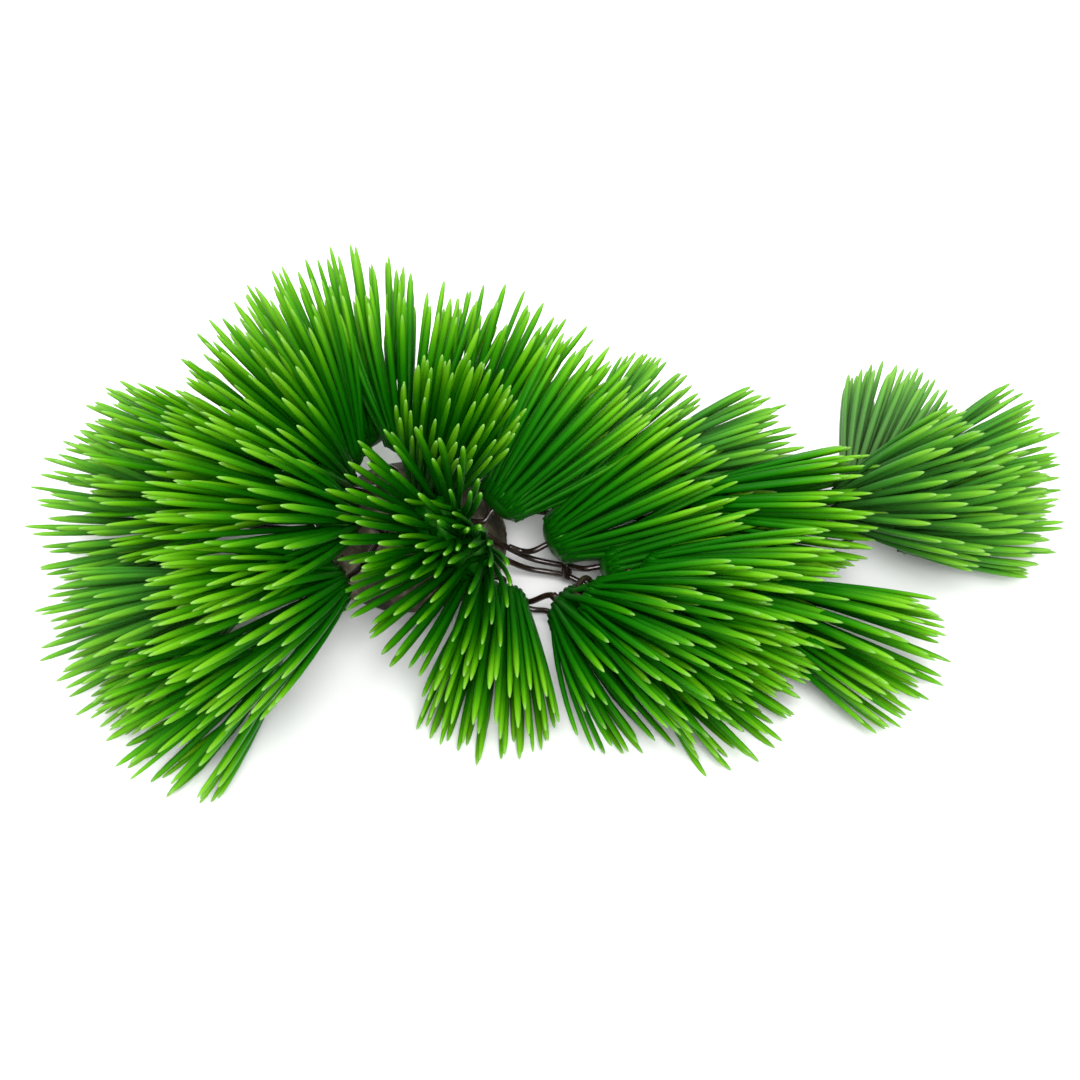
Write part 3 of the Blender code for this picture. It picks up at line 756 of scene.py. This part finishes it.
def wire_material():
    """Glossy dark brown coating, a little uneven along the wire."""
    mat, tree, shader = principled("wire_coating", 0.25, IOR=1.5)
    coords = tree.nodes.new("ShaderNodeTexCoord")
    wear = noise(tree, coords.outputs["Object"], 260.0, 4.0, 0.6)
    colour = ramp(tree, wear, ((0.30, (0.006, 0.003, 0.002)), (0.55, (0.016, 0.008, 0.005)),
                               (0.80, (0.045, 0.026, 0.017))))
    tree.links.new(colour, shader.inputs["Base Color"])
    rough = math_node(tree, "ADD", math_node(tree, "MULTIPLY", wear, 0.25), 0.12)
    tree.links.new(rough, shader.inputs["Roughness"])
    link_bump(tree, shader, noise(tree, coords.outputs["Object"], 700.0, 3.0), 0.3, 0.1 * MM)
    return mat


def stone_material():
    """Matte stone: beige and grey patches, brown stains, dark specks and fine pits."""
    mat, tree, shader = principled("mottled_stone", 0.8, IOR=1.45, Specular_IOR_Level=0.2)
    coords = tree.nodes.new("ShaderNodeTexCoord").outputs["Object"]
    patch = noise(tree, coords, 85.0, 6.0, 0.62)
    base = ramp(tree, patch, ((0.36, (0.010, 0.009, 0.004)), (0.47, (0.036, 0.030, 0.015)),
                              (0.56, (0.110, 0.092, 0.055)), (0.68, (0.320, 0.280, 0.190))))
    stain = noise(tree, coords, 190.0, 5.0, 0.6)
    grey = mix_colour(tree, math_node(tree, "MULTIPLY", stain, 0.3), base, (0.070, 0.066, 0.055))
    dark = tree.nodes.new("ShaderNodeMapRange")
    dark.inputs["From Min"].default_value = 0.62
    dark.inputs["From Max"].default_value = 0.75
    tree.links.new(noise(tree, coords, 330.0, 3.0, 0.7), dark.inputs["Value"])
    colour = mix_colour(tree, dark.outputs[0], grey, (0.012, 0.009, 0.007))
    tree.links.new(colour, shader.inputs["Base Color"])
    rough = math_node(tree, "ADD", math_node(tree, "MULTIPLY", patch, 0.3), 0.6)
    tree.links.new(rough, shader.inputs["Roughness"])
    coarse = math_node(tree, "MULTIPLY", patch, 1.5)
    height = math_node(tree, "ADD", noise(tree, coords, 300.0, 8.0, 0.65), coarse)
    link_bump(tree, shader, height, 0.7, 0.8 * MM)
    return mat


def stage():
    """Pale floor, a broad lamp above, a stronger one in front, a white surround and the camera."""
    mat, _, shader = principled("floor_white", 0.7)
    shader.inputs["Base Color"].default_value = (FLOOR_WHITE, FLOOR_WHITE, FLOOR_WHITE, 1.0)
    corners = FLOOR_HALF * np.array([[-1.0, -1.0, 0.0], [1.0, -1.0, 0.0], [1.0, 1.0, 0.0], [-1.0, 1.0, 0.0]])
    floor = mesh_piece("floor", corners, [np.array([[0, 1, 2, 3]])], mat)
    world = bpy.data.worlds.new("surround")
    world.use_nodes = True
    background = world.node_tree.nodes["Background"]
    background.inputs["Color"].default_value = (1.0, 1.0, 1.0, 1.0)
    background.inputs["Strength"].default_value = SURROUND_STRENGTH
    bpy.context.scene.world = world
    bpy.context.scene.view_settings.view_transform = "Standard"
    for name, place, width, watts in LAMPS:
        light = bpy.data.lights.new(name, "AREA")
        light.energy = watts
        light.size = width
        lamp = bpy.data.objects.new(name, light)
        lamp.location = place
        lamp.rotation_euler = (Vector(LAMP_AIM) - Vector(place)).to_track_quat("-Z", "Y").to_euler()
        bpy.context.scene.collection.objects.link(lamp)
    camera = bpy.data.cameras.new("camera")
    camera.lens = CAMERA_LENS
    camera.sensor_width = SENSOR
    camera.clip_start = CAMERA_CLIP
    view = bpy.data.objects.new("camera", camera)
    view.location = CAMERA_PLACE
    view.rotation_euler = (math.radians(CAMERA_TILT), 0.0, 0.0)
    bpy.context.scene.collection.objects.link(view)
    bpy.context.scene.camera = view


def main():
    """Build every piece, then the floor, lights and camera."""
    blades = blade_group()
    greens = [blade_material(name, blades, shift, pale) for name, shift, pale in GREENS]
    for tuft in TUFT_LIST:
        build_tuft(tuft, greens[tuft.tint])
    coating = wire_material()
    build_stems(coating)
    build_collars(coating)
    build_stone(stone_material())
    stage()


main()
